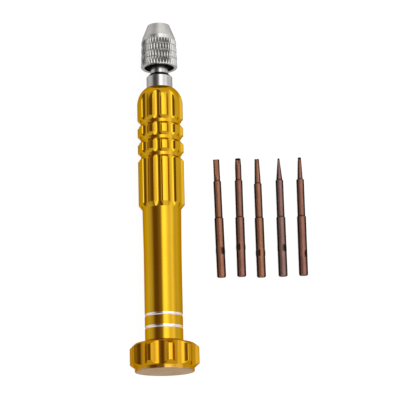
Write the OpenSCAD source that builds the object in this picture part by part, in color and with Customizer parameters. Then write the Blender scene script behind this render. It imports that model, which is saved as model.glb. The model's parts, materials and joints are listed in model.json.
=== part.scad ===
// Watchmaker screwdriver lying on a bench, with its five loose bits beside it.
// Every driver piece is drawn along +Z from the cap's end face (z = 0) to the nose, and
// on_bench() lays it down: the cap points to -Y, the nose to +Y, and the tool rests on the
// rim of its cap and on the front of its grip. Bits are drawn from shank end to tip.

/* [Swivel cap] */
// Diameter over the lands
cap_d = 18.0; // [17:0.1:19]
// Length along the axis
cap_len = 7.7; // [7.6:0.1:8.5]
// Diameter of the flat end face
cap_end_d = 15.4; // [14.9:0.1:15.5]
// Length of the smooth rim behind the end face
cap_rim_len = 0.9; // [0.5:0.1:1.1]
// Distance from the end face to the front of the chamfer behind the rim
cap_end_chamfer = 1.9; // [1.2:0.1:2.4]
// Diameter where the front chamfer meets the domed front
cap_front_d = 15.4; // [14:0.1:17]
// Diameter of the flat in the middle of the domed front
cap_face_d = 11.2; // [10.6:0.1:14]
// Height of the domed front
cap_dome_len = 0.55; // [0.3:0.05:0.7]
// Length of the front chamfer and the domed front together
cap_front_chamfer = 1.55; // [0.8:0.05:1.8]
// Number of scalloped flutes
cap_flutes = 10; // [8:1:10]
// Half the angle that one flute takes at the rim
cap_flute_half = 14.0; // [10:0.1:15]
// Diameter across the flute floors
cap_floor_d = 15.5; // [15.5:0.1:16.6]
// How far the cap is turned on its bearing from having a flute straight down
cap_turn = -7.2; // [-18:0.1:18]

/* [Cap disc] */
// Diameter of the pressed-in disc
disc_d = 14.7; // [13:0.1:14.7]
// Thickness at the edge
disc_t = 0.8; // [0.5:0.1:1]
// Diameter of the spigot behind the disc
disc_spigot_d = 9.1; // [8:0.1:10]

/* [Bearing] */
// Bore of the inner race
bearing_bore = 3.0; // [3:1:3]
// Outside diameter
bearing_od = 7.0; // [7:1:7]
// Width
bearing_w = 2.0; // [2:1:2]
// Number of balls
ball_count = 7; // [6:1:7]
// Ball diameter
ball_d = 1.0; // [0.9:0.05:1]

/* [Tail plug] */
// Diameter of the plug's visible collar and of the rear barrel
barrel_d = 9.9; // [9.6:0.1:10]
// Length of the visible collar
plug_collar_len = 3.4; // [3:0.1:5]
// Thread: nominal diameter
plug_thread_d = 8.0; // [8:1:8]
// Thread: pitch
plug_pitch = 0.75; // [0.75:0.25:1]
// Length of the threaded stretch
plug_thread_len = 4.1; // [3.5:0.1:4.5]

/* [Handle] */
// Length from the rear silver line to the dome's front
handle_len = 64.4; // [64:0.1:70]
// Diameter over the grip's lands
grip_d = 12.1; // [11.6:0.1:12.4]
// Start of the grip, from the rear of the handle
grip_start = 31.3; // [28:0.1:32]
// Length of the chamfer at the grip's rear
grip_rear_chamfer = 1.2; // [0.8:0.1:1.6]
// Barrel diameter where it meets the grip
barrel_front_d = 10.2; // [9.8:0.1:10.4]
// Where the barrel's taper begins, from the rear of the handle
barrel_taper_start = 19.7; // [12:0.1:24]
// Radius of the dome at the front of the grip
dome_r = 5.5; // [5:0.1:5.5]
// Diameter of the flat at the front of the dome
dome_front_d = 7.5; // [7:0.1:8]
// Number of flutes on the grip
grip_flutes = 10; // [8:1:10]
// Diameter of the round cutter that makes a flute
grip_cutter_d = 2.8; // [2.4:0.1:3]
// Distance of the cutter's axis from the handle's axis
grip_cutter_pos = 6.7; // [6.6:0.05:7.2]
// How far the flutes are turned from having one straight down
grip_turn = -6.6; // [-18:0.1:18]
// Number of grooves round the grip
groove_count = 3; // [1:1:4]
// First groove, from the rear of the handle
groove_first = 45.5; // [42:0.1:48]
// Distance between grooves
groove_pitch = 4.5; // [4:0.1:5]
// Width of a groove at the surface
groove_w = 2.4; // [1.8:0.1:2.6]
// Depth of a groove
groove_depth = 0.8; // [0.5:0.05:0.8]
// Bore of the bit store
store_d = 7.0; // [6.6:0.1:7]
// Depth of the bit store, from the rear of the handle
store_depth = 41.5; // [38:0.5:44]

/* [Silver lines] */
// Width of a bright-cut line
line_w = 0.7; // [0.4:0.05:1]
// Depth of a bright-cut line
line_depth = 0.16; // [0.05:0.01:0.2]
// Distance of the front line from the rear of the handle
line_pos = 3.2; // [2.4:0.1:6]

/* [Chuck] */
// Diameter of the arbor's shank in the handle
shank_bore_d = 5.0; // [4.6:0.1:5]
// Length of the arbor's shank
arbor_shank_len = 15.8; // [12:0.1:16]
// Diameter of the arbor's collar
collar_d = 6.9; // [6.4:0.1:7]
// Length of the collar with its chamfer
collar_len = 3.9; // [3.4:0.1:4.2]
// Chamfer at the collar's front
collar_chamfer = 0.8; // [0.4:0.1:0.9]
// Diameter of the smooth neck
neck_d = 4.8; // [4.4:0.1:4.8]
// Open length of neck between collar and nut
neck_gap = 1.9; // [1.7:0.1:2.6]
// Nut thread: nominal diameter
nut_thread_d = 5.0; // [5:1:5]
// Nut thread: pitch
nut_pitch = 0.5; // [0.5:0.1:0.5]
// Length of the nut
nut_len = 11.9; // [11.6:0.1:12.5]
// Nut diameter over the knurl at its rear
nut_rear_d = 9.8; // [9.5:0.05:9.9]
// Nut diameter over the knurl where the cone begins
nut_front_d = 9.35; // [9.1:0.05:9.4]
// Length of the nose cone
cone_len = 4.5; // [4.2:0.1:4.8]
// Diameter of the nose
nose_d = 5.9; // [5.4:0.1:6.2]
// Relief bore at the nut's rear
relief_d = 7.8; // [7:0.1:7.9]
// Depth of the relief bore
relief_depth = 1.6; // [1:0.1:1.6]
// Bore behind the collet, which takes the end of a bit's shank
arbor_bore_d = 2.9; // [2.8:0.1:3]
// Bore of the relaxed collet
collet_bore_d = 2.44; // [2.42:0.01:2.5]
// Outside diameter of the collet
collet_d = 4.2; // [4:0.1:4.2]
// Width of the collet's slots
collet_slot = 0.8; // [0.6:0.1:0.9]

/* [Bits] */
// Overall length
bit_len = 31.8; // [30:0.1:34]
// Shank diameter
bit_shank_d = 2.4; // [2.3:0.1:2.4]
// Shank length
bit_shank_len = 15.9; // [15:0.1:18]
// Diameter of the middle step
bit_mid_d = 2.05; // [1.9:0.05:2.1]
// Length of the tip
bit_tip_len = 5.9; // [5:0.1:6.5]
// Length of the three-wing bit's tip
wing_tip_len = 6.6; // [5:0.1:7]
// Diameter at the base of the tip
bit_tip_d = 1.66; // [1.5:0.02:1.8]
// Length of a crimp
crimp_len = 2.0; // [1.4:0.1:2.2]
// Shank diameter at the middle of a crimp
crimp_waist_d = 2.36; // [2.3:0.01:2.38]

/* [Hidden] */
$fn = 96;

gold = [0.93, 0.70, 0.10];
steel = [0.74, 0.75, 0.76];
brown = [0.50, 0.32, 0.24];
eps = 0.01;
press_gap = 0.01;    // a pressed or pushed-in piece, radially
run_gap = 0.05;      // a running fit, radially

// Stations along the driver, from the cap's end face
plug_z = cap_len + 0.2;
handle_z = plug_z + plug_collar_len;
handle_end = handle_z + handle_len;
collar_end = handle_end + collar_len;
nut_z = collar_end + neck_gap;
nose_z = nut_z + nut_len;
grip_z = handle_z + grip_start;
grip_full_z = grip_z + grip_rear_chamfer;
dome_reach = sqrt(dome_r ^ 2 - (dome_front_d / 2 - grip_d / 2 + dome_r) ^ 2);
dome_z = handle_end - dome_reach;

// Swivel bearing: its front face seats on the plug's boss and on the cap's shoulder
bearing_z1 = 4.9;
bearing_z0 = bearing_z1 - bearing_w;
bearing_mid = (bearing_z0 + bearing_z1) / 2;
race_pitch_r = 2.55;
inner_race_r = 2.15;
outer_race_r = 2.95;
raceway_r = ball_d / 2 + 0.02;
boss_d = 4.4;
screw_d = 2.5;
screw_pitch = 0.45;
shim_t = 0.2;

// Tail plug thread and its O-ring
ring_section_r = 0.5;
ring_r = 3.5;
ring_z = handle_z + 0.7;
plug_thread_z = handle_z + 1.6;
plug_thread_end = plug_thread_z + plug_thread_len;

// Chuck: thread, socket and collet stations
arbor_thread_z = nut_z + 1.3;
arbor_end = nut_z + 6.3;
nut_thread_end = nut_z + 6.9;
socket_d = 3.4;
socket_depth = 3.0;
bit_stop_z = nut_z - 0.2;
jaw_cone_z = nut_z + 8.4;
jaw_cone_end = nut_z + 10.8;
collet_nose_d = 3.1;
collet_end = nose_z - 0.4;

// Angle at which the driver lies: it touches the bench with the edge of the lowest land of
// the cap and with the edge of the lowest land of the grip
grip_floor_r = grip_cutter_pos - grip_cutter_d / 2;
grip_flute_half = acos(((grip_d / 2) ^ 2 + grip_cutter_pos ^ 2 - (grip_cutter_d / 2) ^ 2)
                       / (grip_d * grip_cutter_pos));
cap_rest_z = cap_len - cap_front_chamfer;
cap_rest_r = cap_d / 2 * cos(max(0, cap_flute_half - abs(cap_turn)));
grip_rest_r = grip_d / 2 * cos(max(0, grip_flute_half - abs(grip_turn)));
lie_angle = atan((cap_rest_r - grip_rest_r) / (dome_z - cap_rest_z));
axis_height = cap_rest_r * cos(lie_angle) + cap_rest_z * sin(lie_angle);

// Bits on the bench, left to right: distance from the driver's axis, distance of the shank
// end from the cap's end face, heading, distance of the crimp from the shank end, its turn
bits = [[15.3, 25.3, -1.2, 7.0, 30],
        [20.6, 25.4, -0.3, 7.8, -27],
        [25.8, 25.1, -0.6, 6.4, -24],
        [31.5, 25.2, -0.4, 7.5, 32],
        [36.9, 25.3, -0.1, 5.7, 41]];
last_bit_edge = bits[4][0] + bit_shank_d / 2;

// The origin is under the middle of everything that lies on the bench
set_x = (cap_rest_r - last_bit_edge) / 2;
set_back = cap_end_d / 2 * sin(lie_angle);
set_front = nose_z * cos(lie_angle) + nose_d / 2 * sin(lie_angle);
set_y = (set_back - set_front) / 2;

module on_bench() {
  translate([set_x, set_y, axis_height]) rotate([-90 - lie_angle, 0, 0]) children();
}

// One bit with its shank end at z = 0 laid at its place
module bit_on_bench(i) {
  translate([set_x + bits[i][0], set_y + bits[i][1], bit_shank_d / 2])
    rotate([-90, 0, -bits[i][2]]) children();
}

// A straight round stretch from one station to another
module rod(z0, z1, d) {
  translate([0, 0, z0]) cylinder(d = d, h = z1 - z0);
}

// A conical stretch from one station to another
module taper(z0, z1, d0, d1) {
  translate([0, 0, z0]) cylinder(d1 = d0, d2 = d1, h = z1 - z0);
}

module tube(z0, z1, d, bore) {
  difference() {
    rod(z0, z1, d);
    rod(z0 - 1, z1 + 1, bore);
  }
}

// Thread drawn as rings of the thread's own pitch and depth
module ringed_thread(z0, z1, crest_d, pitch) {
  depth = 0.55 * pitch;
  turns = floor((z1 - z0) / pitch);
  rotate_extrude()
    polygon(concat([[0, z0]],
                   [for (i = [0 : turns - 1])
                    for (p = [[-depth, 0], [0, 0.4], [0, 0.6]])
                    [crest_d / 2 + p[0], z0 + (i + p[1]) * pitch]],
                   [[crest_d / 2 - depth, z0 + turns * pitch], [crest_d / 2 - depth, z1],
                    [0, z1]]));
}

// Cuts equal flutes of round section, the first of them turned from straight down
module flutes(count, turn, cutter_r, cutter_pos, z0, z1) {
  for (i = [0 : count - 1])
    rotate([0, 0, 90 + turn + i * 360 / count])
      translate([cutter_pos, 0, z0]) cylinder(r = cutter_r, h = z1 - z0);
}

// V-shaped line cut round a cylinder of diameter d
module bright_line(z, d) {
  translate([0, 0, z]) rotate_extrude()
    polygon([[d / 2 + 1, -line_w / 2 - line_w / (2 * line_depth)],
             [d / 2 - line_depth, -line_w / 8],
             [d / 2 - line_depth, line_w / 8],
             [d / 2 + 1, line_w / 2 + line_w / (2 * line_depth)]]);
}

module handle_profile() {
  polygon([[0, handle_z],
           [barrel_d / 2 - line_depth, handle_z],
           [barrel_d / 2, handle_z + line_w / 2],
           [barrel_d / 2, handle_z + barrel_taper_start],
           [barrel_front_d / 2, grip_z],
           [grip_d / 2, grip_full_z],
           [grip_d / 2, dome_z],
           [0, dome_z]]);
  intersection() {
    translate([grip_d / 2 - dome_r, dome_z]) circle(r = dome_r);
    translate([0, dome_z - eps]) square([grip_d / 2, dome_reach + eps]);
  }
  translate([0, dome_z - eps]) square([grip_d / 2 - dome_r + eps, dome_reach + eps]);
}

module groove_cut(z) {
  floor_r = grip_d / 2 - groove_depth;
  translate([0, 0, z]) rotate_extrude()
    polygon([[floor_r, -groove_w / 2 + groove_depth],
             [grip_d / 2 + 1, -groove_w / 2 - 1],
             [grip_d / 2 + 1, groove_w / 2 + 1],
             [floor_r, groove_w / 2 - groove_depth]]);
}

module handle_body() {
  color(gold) on_bench() difference() {
    rotate_extrude() handle_profile();
    flutes(grip_flutes, grip_turn, grip_cutter_d / 2, grip_cutter_pos, grip_z - 1,
           handle_end + 1);
    for (i = [0 : groove_count - 1])
      groove_cut(handle_z + groove_first + i * groove_pitch);
    bright_line(handle_z + line_pos, barrel_d);
    // O-ring seat, plug thread and bit store
    rod(handle_z - 1, plug_thread_z + 0.1, 2 * (ring_r + ring_section_r) + 0.2);
    rod(handle_z, plug_thread_end + 0.8, plug_thread_d);
    rod(handle_z, handle_z + store_depth, store_d);
    taper(handle_z + store_depth - eps, handle_z + store_depth + 2, store_d, 0);
    // Seat of the arbor's shank
    rod(handle_end - arbor_shank_len - 0.2, handle_end + 1, shank_bore_d);
  }
}

module chuck_arbor() {
  color(steel) on_bench() difference() {
    union() {
      taper(handle_end - arbor_shank_len, handle_end - arbor_shank_len + 0.6,
            shank_bore_d - 1.2, shank_bore_d - 2 * press_gap);
      rod(handle_end - arbor_shank_len + 0.6, handle_end, shank_bore_d - 2 * press_gap);
      rod(handle_end, collar_end - collar_chamfer, collar_d);
      taper(collar_end - collar_chamfer, collar_end, collar_d,
            collar_d - 2 * collar_chamfer);
      rod(collar_end - eps, arbor_thread_z, neck_d);
      ringed_thread(arbor_thread_z - eps, arbor_end, nut_thread_d - 2 * run_gap, nut_pitch);
    }
    rod(arbor_end - socket_depth, arbor_end + 1, socket_d);
    rod(bit_stop_z, arbor_end, arbor_bore_d);
  }
}

module collet() {
  tenon_end = arbor_end + run_gap;
  color(steel) on_bench() difference() {
    union() {
      rod(arbor_end - socket_depth + 0.1, tenon_end, socket_d - 2 * run_gap);
      rod(tenon_end, jaw_cone_z, collet_d);
      taper(jaw_cone_z, jaw_cone_end, collet_d, collet_nose_d);
      rod(jaw_cone_end, collet_end, collet_nose_d);
    }
    rod(arbor_end - socket_depth - 1, nose_z, collet_bore_d);
    for (a = [45, 135])
      rotate([0, 0, a]) translate([-collet_d, -collet_slot / 2, tenon_end + 0.4])
        cube([2 * collet_d, collet_slot, nut_len]);
  }
}

module chuck_nut() {
  rim = 0.3;
  cone_z = nose_z - cone_len;
  color(steel) on_bench() difference() {
    union() {
      taper(nut_z, nut_z + rim, nut_rear_d - 1.2 * rim, nut_rear_d);
      taper(nut_z + rim, cone_z, nut_rear_d, nut_front_d);
      taper(cone_z, nose_z, nut_front_d, nose_d);
    }
    rod(nut_z - 1, nut_z + relief_depth, relief_d);
    rod(nut_z, nut_thread_end, nut_thread_d);
    rod(nut_thread_end - eps, jaw_cone_z, collet_d + 2 * run_gap);
    taper(jaw_cone_z - eps, jaw_cone_end, collet_d + 2 * run_gap,
          collet_nose_d + 3 * run_gap);
    rod(jaw_cone_end - eps, nose_z + 1, collet_nose_d + 3 * run_gap);
  }
}

module tail_plug() {
  neck = 2 * (ring_r - ring_section_r - run_gap);
  color(gold) on_bench() difference() {
    union() {
      rod(bearing_z1, plug_z + eps, boss_d);
      rod(plug_z, handle_z - line_w / 2, barrel_d);
      taper(handle_z - line_w / 2, handle_z, barrel_d, barrel_d - 2 * line_depth);
      rod(handle_z - eps, plug_thread_z + eps, neck);
      ringed_thread(plug_thread_z, plug_thread_end, plug_thread_d - 2 * run_gap,
                    plug_pitch);
    }
    rod(bearing_z1 - 1, handle_z - 0.6, screw_d + 2 * press_gap);
    // Hollow front end, so that the store is as long as it can be
    rod(handle_z + 2, plug_thread_end + 1, 5);
  }
}

module plug_o_ring() {
  color([0.08, 0.08, 0.08]) on_bench()
    translate([0, 0, ring_z]) rotate_extrude()
      translate([ring_r, 0]) circle(r = ring_section_r, $fn = 32);
}

module cap_washer() {
  color([0.93, 0.92, 0.88]) on_bench()
    tube(plug_z - 0.5, plug_z, 8.4, boss_d + 2 * press_gap);
}

module swivel_cap() {
  cutter_pos = ((cap_d / 2) ^ 2 - (cap_floor_d / 2) ^ 2)
               / (cap_d * cos(cap_flute_half) - cap_floor_d);
  // The flutes end at the rim
  rim_d = cap_floor_d - 0.04;
  dome_z = cap_len - cap_dome_len;
  color(gold) on_bench() difference() {
    union() {
      taper(0, cap_rim_len, cap_end_d, rim_d);
      taper(cap_rim_len, cap_end_chamfer, rim_d, cap_d);
      rod(cap_end_chamfer, cap_rest_z, cap_d);
      taper(cap_rest_z, dome_z, cap_d, cap_front_d);
      taper(dome_z, cap_len, cap_front_d, cap_face_d);
    }
    flutes(cap_flutes, cap_turn, cutter_pos - cap_floor_d / 2, cutter_pos, -1,
           cap_len + 1);
    rod(-1, disc_t, disc_d + 2 * press_gap);
    rod(0, bearing_z0 + eps, disc_spigot_d + 2 * press_gap);
    rod(bearing_z0, bearing_z1, bearing_od + 2 * press_gap);
    rod(bearing_z0, cap_len + 1, boss_d + 0.6);
    rod(cap_len - 0.35, cap_len + 1, 8.6);
  }
}

module cap_disc() {
  color([0.72, 0.62, 0.48]) on_bench() {
    rod(0, disc_t, disc_d);
    rod(disc_t - eps, disc_t + 0.5, disc_spigot_d);
  }
}

module pivot_screw() {
  head_d = 4.8;
  head_h = 1.2;
  head_z = bearing_z0 - shim_t;
  color(steel) on_bench() difference() {
    union() {
      rod(head_z - head_h, head_z, head_d);
      rod(head_z - eps, bearing_z1, bearing_bore - 4 * press_gap);
      ringed_thread(bearing_z1 - eps, handle_z - 1.2, screw_d, screw_pitch);
    }
    translate([-head_d, -0.3, head_z - head_h - 1]) cube([2 * head_d, 0.6, 1.6]);
  }
}

module shim_washer() {
  color(steel) on_bench()
    tube(bearing_z0 - shim_t, bearing_z0, 4.2, bearing_bore + 4 * press_gap);
}

// Raceway that the balls run in, cut from both races
module raceway() {
  translate([0, 0, bearing_mid]) rotate_extrude()
    translate([race_pitch_r, 0]) circle(r = raceway_r, $fn = 48);
}

module bearing_inner_race() {
  color(steel) on_bench() difference() {
    tube(bearing_z0, bearing_z1, 2 * inner_race_r, bearing_bore);
    raceway();
  }
}

module bearing_outer_race() {
  color(steel) on_bench() difference() {
    tube(bearing_z0, bearing_z1, bearing_od, 2 * outer_race_r);
    raceway();
  }
}

module bearing_balls() {
  color([0.85, 0.86, 0.88]) on_bench()
    for (i = [0 : ball_count - 1])
      rotate([0, 0, i * 360 / ball_count])
        translate([race_pitch_r, 0, bearing_mid]) sphere(d = ball_d, $fn = 48);
}

module bearing_cage() {
  color([0.80, 0.62, 0.30]) on_bench() difference() {
    tube(bearing_mid - 0.62, bearing_mid + 0.62, 2 * race_pitch_r + 0.36,
         2 * race_pitch_r - 0.36);
    for (i = [0 : ball_count - 1])
      rotate([0, 0, i * 360 / ball_count]) translate([race_pitch_r - 1, 0, bearing_mid])
        rotate([0, 90, 0]) cylinder(d = ball_d + 0.06, h = 2);
  }
}

module bearing_shields() {
  color(steel) on_bench()
    for (z = [bearing_z0 + 0.05, bearing_z1 - 0.2])
      tube(z, z + 0.15, 2 * outer_race_r - 2 * press_gap, 2 * inner_race_r + 0.2);
}

// Stepped blank that all five bits share, up to the base of the tip
module bit_blank(crimp_pos, crimp_turn, tip_len = bit_tip_len) {
  chamfer = 0.25;
  step = 0.1;
  crimp_z0 = crimp_pos - crimp_len / 2;
  crimp_z1 = crimp_pos + crimp_len / 2;
  tip_z = bit_len - tip_len;
  difference() {
    union() {
      taper(0, chamfer, bit_shank_d - 1.6 * chamfer, bit_shank_d);
      rod(chamfer, crimp_z0, bit_shank_d);
      taper(crimp_z0, crimp_pos, bit_shank_d, crimp_waist_d);
      taper(crimp_pos, crimp_z1, crimp_waist_d, bit_shank_d);
      rod(crimp_z1, bit_shank_len - step, bit_shank_d);
      taper(bit_shank_len - step, bit_shank_len, bit_shank_d, bit_mid_d);
      rod(bit_shank_len - eps, tip_z - step, bit_mid_d);
      taper(tip_z - step, tip_z, bit_mid_d, bit_tip_d);
      // Ears that the crimping pushes out sideways
      translate([0, 0, crimp_pos]) rotate([0, 0, crimp_turn])
        cube([bit_shank_d + 0.3, 0.6, 0.8 * crimp_len], center = true);
    }
    // Dents left by the crimping tool
    for (side = [-1, 1])
      translate([0, 0, crimp_pos]) rotate([0, 0, crimp_turn])
        translate([0, side * (bit_shank_d / 2 + 0.1), 0])
          cube([0.8, 0.6, crimp_len - 0.2], center = true);
  }
}

// The sharpened end of the slotted bit: a blade with two tapered flats
module blade_tip() {
  tip_z = bit_len - bit_tip_len;
  blade_t = 0.3;
  intersection() {
    rod(tip_z - eps, bit_len, bit_tip_d);
    rotate([90, 0, 90]) translate([0, 0, -bit_tip_d])
      linear_extrude(2 * bit_tip_d)
        polygon([[-bit_tip_d, tip_z - 1], [bit_tip_d, tip_z - 1],
                 [bit_tip_d / 2, tip_z + 0.9], [blade_t / 2, bit_len - 0.7],
                 [blade_t / 2, bit_len], [-blade_t / 2, bit_len],
                 [-blade_t / 2, bit_len - 0.7], [-bit_tip_d / 2, tip_z + 0.9]]);
  }
}

module bit_slotted() {
  color(brown) bit_on_bench(0) {
    bit_blank(bits[0][3], bits[0][4]);
    blade_tip();
  }
}

// Star prism: a round bar with equal scallops round it
module lobed_end(z0, z1, d, count, scallop_d) {
  translate([0, 0, z0]) linear_extrude(z1 - z0) difference() {
    circle(d = d, $fn = 48);
    for (i = [0 : count - 1])
      rotate(i * 360 / count) translate([d / 2 + 0.1 * scallop_d, 0])
        circle(d = scallop_d, $fn = 32);
  }
}

module bit_six_lobe() {
  tip_z = bit_len - bit_tip_len;
  star_z = bit_len - 2.0;
  lobe_d = 1.5;
  lobe_scallop = 0.4;
  color(brown) bit_on_bench(1) {
    bit_blank(bits[1][3], bits[1][4]);
    rod(tip_z - eps, star_z, bit_tip_d);
    intersection() {
      lobed_end(star_z - eps, bit_len, lobe_d, 6, lobe_scallop);
      taper(star_z - eps, bit_len, lobe_d + 0.1, lobe_d - 0.1);
    }
  }
}

module bit_three_wing() {
  tip_z = bit_len - wing_tip_len;
  wing_z = bit_len - 1.4;
  wing_end_d = 1.2;
  wing_web = 0.48;
  wing_slope = 14;
  color(brown) bit_on_bench(2) {
    bit_blank(bits[2][3], bits[2][4], wing_tip_len);
    difference() {
      taper(tip_z - eps, bit_len, bit_tip_d, wing_end_d);
      // Three sloping V cuts leave three wings
      for (i = [0 : 2])
        rotate([0, 0, 30 + i * 120]) translate([wing_web, 0, wing_z])
          rotate([0, -wing_slope, 0]) rotate([0, 0, -45]) cube([2, 2, 3]);
    }
  }
}

module bit_cross() {
  tip_z = bit_len - bit_tip_len;
  flute_z = bit_len - 2.5;
  point_d = 0.5;
  cross_web = 0.28;
  cross_slope = 4.2;
  color(brown) bit_on_bench(3) {
    bit_blank(bits[3][3], bits[3][4]);
    difference() {
      taper(tip_z - eps, bit_len, bit_tip_d, point_d);
      // Four V flutes that grow shallower towards the base
      for (i = [0 : 3])
        rotate([0, 0, 45 + i * 90]) translate([cross_web, 0, flute_z])
          rotate([0, -cross_slope, 0]) rotate([0, 0, -45]) cube([2, 2, 3]);
    }
  }
}

module bit_five_lobe() {
  tip_z = bit_len - bit_tip_len;
  star_z = bit_len - 0.9;
  base_d = bit_tip_d - 0.24;
  lobe_d = 0.92;
  lobe_scallop = 0.3;
  color(brown) bit_on_bench(4) {
    bit_blank(bits[4][3], bits[4][4]);
    taper(tip_z - eps, star_z, base_d, lobe_d + 0.06);
    lobed_end(star_z - eps, bit_len, lobe_d, 5, lobe_scallop);
  }
}

handle_body();
chuck_arbor();
collet();
chuck_nut();
tail_plug();
plug_o_ring();
cap_washer();
swivel_cap();
cap_disc();
pivot_screw();
shim_washer();
bearing_inner_race();
bearing_outer_race();
bearing_balls();
bearing_cage();
bearing_shields();
bit_slotted();
bit_six_lobe();
bit_three_wing();
bit_cross();
bit_five_lobe();
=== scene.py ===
# Watchmaker screwdriver and its five loose bits on a pale bench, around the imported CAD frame.
#
# Every turned piece is a lathe(): an outline of (station, radius) points swept round its axis,
# whose radius a shape function may change with the angle, which cuts flutes, knurling, threads
# and the bits' tips. Stations and radii are in millimetres; driver pieces count stations from
# the cap's end face, bits from the shank end. Objects themselves are in metres. Where a corner
# of an outline is to be rounded it has a third number, the radius of its fillet.

import json
import math

import bpy
import numpy as np
from mathutils import Matrix, Vector


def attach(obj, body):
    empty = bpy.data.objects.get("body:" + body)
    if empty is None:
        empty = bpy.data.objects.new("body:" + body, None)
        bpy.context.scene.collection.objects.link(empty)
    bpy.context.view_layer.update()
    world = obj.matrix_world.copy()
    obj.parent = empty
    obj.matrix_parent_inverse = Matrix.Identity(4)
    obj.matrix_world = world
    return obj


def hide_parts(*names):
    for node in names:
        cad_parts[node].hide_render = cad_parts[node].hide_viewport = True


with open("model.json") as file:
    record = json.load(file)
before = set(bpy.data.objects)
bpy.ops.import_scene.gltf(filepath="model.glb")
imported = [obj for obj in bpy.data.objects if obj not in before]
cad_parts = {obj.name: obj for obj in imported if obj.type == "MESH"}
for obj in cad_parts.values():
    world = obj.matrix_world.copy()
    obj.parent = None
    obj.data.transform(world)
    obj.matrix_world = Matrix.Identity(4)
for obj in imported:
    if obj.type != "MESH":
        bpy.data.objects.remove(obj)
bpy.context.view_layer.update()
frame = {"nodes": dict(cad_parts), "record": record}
nodes = frame["nodes"]
mounts = {m["name"]: m for m in frame["record"]["mounts"]}
MM = 0.001

# ---------------------------------------------------------------- camera and stage

CAMERA_LENS = 157.5
CAMERA_SENSOR = 36
CAMERA_ELEVATION = 78.83
CAMERA_HEADING = 1.34
CAMERA_DISTANCE = 0.4662
CAMERA_TARGET = Vector((-0.0045, -0.0001, 0.0))


def make_camera():
    elevation = math.radians(CAMERA_ELEVATION)
    heading = math.radians(CAMERA_HEADING)
    level = Vector((math.sin(heading), math.cos(heading), 0))
    look = level * math.cos(elevation) - Vector((0, 0, math.sin(elevation)))
    data = bpy.data.cameras.new("camera")
    data.lens = CAMERA_LENS
    data.sensor_width = CAMERA_SENSOR
    data.clip_start = 0.01
    camera = bpy.data.objects.new("camera", data)
    camera.location = CAMERA_TARGET - look * CAMERA_DISTANCE
    camera.rotation_mode = "QUATERNION"
    camera.rotation_quaternion = look.to_track_quat("-Z", "Y")
    bpy.context.scene.collection.objects.link(camera)
    bpy.context.scene.camera = camera


# The studio, as brightness against the angle from straight up, in degrees, negative to the
# left: a softbox just right of overhead, a dimmer one lower down on its right, pale walls on
# both sides and a dark gap on the left
STUDIO = [(-90, 0.95), (-77, 0.93), (-70, 0.73), (-62, 0.56), (-57, 0.25), (-51, 0.11),
          (-37, 0.09), (-28, 0.12), (-19, 0.25), (-10, 0.30), (-6, 0.62), (0, 1.95),
          (5, 2.85), (18, 3.0), (24, 2.6), (30, 2.0), (36, 1.75), (43, 1.55), (49, 1.58),
          (56, 1.90), (63, 1.90), (70, 1.45), (78, 1.10), (90, 0.95)]
STUDIO_PEAK = 3.0
# Bands dimmer than the first value turn warmer, fully so when dimmer by the second
WARM_BELOW = 0.4
WARM_SPAN = 0.25
WARM_SHIFT = (0.10, 0.0, -0.05)
# The bands fade out where a direction's part along the tool is between these values
STUDIO_FADE = (0.80, 0.90)


def studio_color(value):
    """The studio's colour as a share of its peak: its dark gap is slightly warm."""
    warm = max(0.0, min(1.0, (WARM_BELOW - value) / WARM_SPAN))
    return tuple(value * (1 + shift * warm) / STUDIO_PEAK for shift in WARM_SHIFT)


def make_studio():
    world = bpy.data.worlds.new("studio")
    bpy.context.scene.world = world
    world.use_nodes = True
    tree = world.node_tree
    tree.nodes.clear()
    new = tree.nodes.new
    link = tree.links.new
    direction = new("ShaderNodeTexCoord")
    axes = new("ShaderNodeSeparateXYZ")
    link(direction.outputs["Generated"], axes.inputs[0])
    angle = new("ShaderNodeMath")
    angle.operation = "ARCTAN2"
    link(axes.outputs["X"], angle.inputs[0])
    link(axes.outputs["Z"], angle.inputs[1])
    across = new("ShaderNodeMapRange")
    across.inputs["From Min"].default_value = -math.pi / 2
    across.inputs["From Max"].default_value = math.pi / 2
    link(angle.outputs[0], across.inputs["Value"])
    bands = new("ShaderNodeValToRGB")
    fill_ramp(bands, [((a + 90) / 180, studio_color(v)) for a, v in STUDIO])
    link(across.outputs[0], bands.inputs[0])
    # Beyond both ends of the bands the surround is evenly pale
    along = new("ShaderNodeMath")
    along.operation = "ABSOLUTE"
    link(axes.outputs["Y"], along.inputs[0])
    end = new("ShaderNodeMapRange")
    end.interpolation_type = "SMOOTHSTEP"
    end.inputs["From Min"].default_value = STUDIO_FADE[0]
    end.inputs["From Max"].default_value = STUDIO_FADE[1]
    link(along.outputs[0], end.inputs["Value"])
    mix = new("ShaderNodeMix")
    mix.data_type = "RGBA"
    mix.inputs["B"].default_value = (1 / STUDIO_PEAK,) * 3 + (1,)
    link(end.outputs[0], mix.inputs["Factor"])
    link(bands.outputs["Color"], mix.inputs["A"])
    background = new("ShaderNodeBackground")
    background.inputs["Strength"].default_value = STUDIO_PEAK
    link(mix.outputs["Result"], background.inputs["Color"])
    output = new("ShaderNodeOutputWorld")
    link(background.outputs[0], output.inputs["Surface"])
    bpy.context.scene.view_settings.view_transform = "Standard"


FLOOR_HALF = 3.0
FLOOR_GLOW = 0.94


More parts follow.
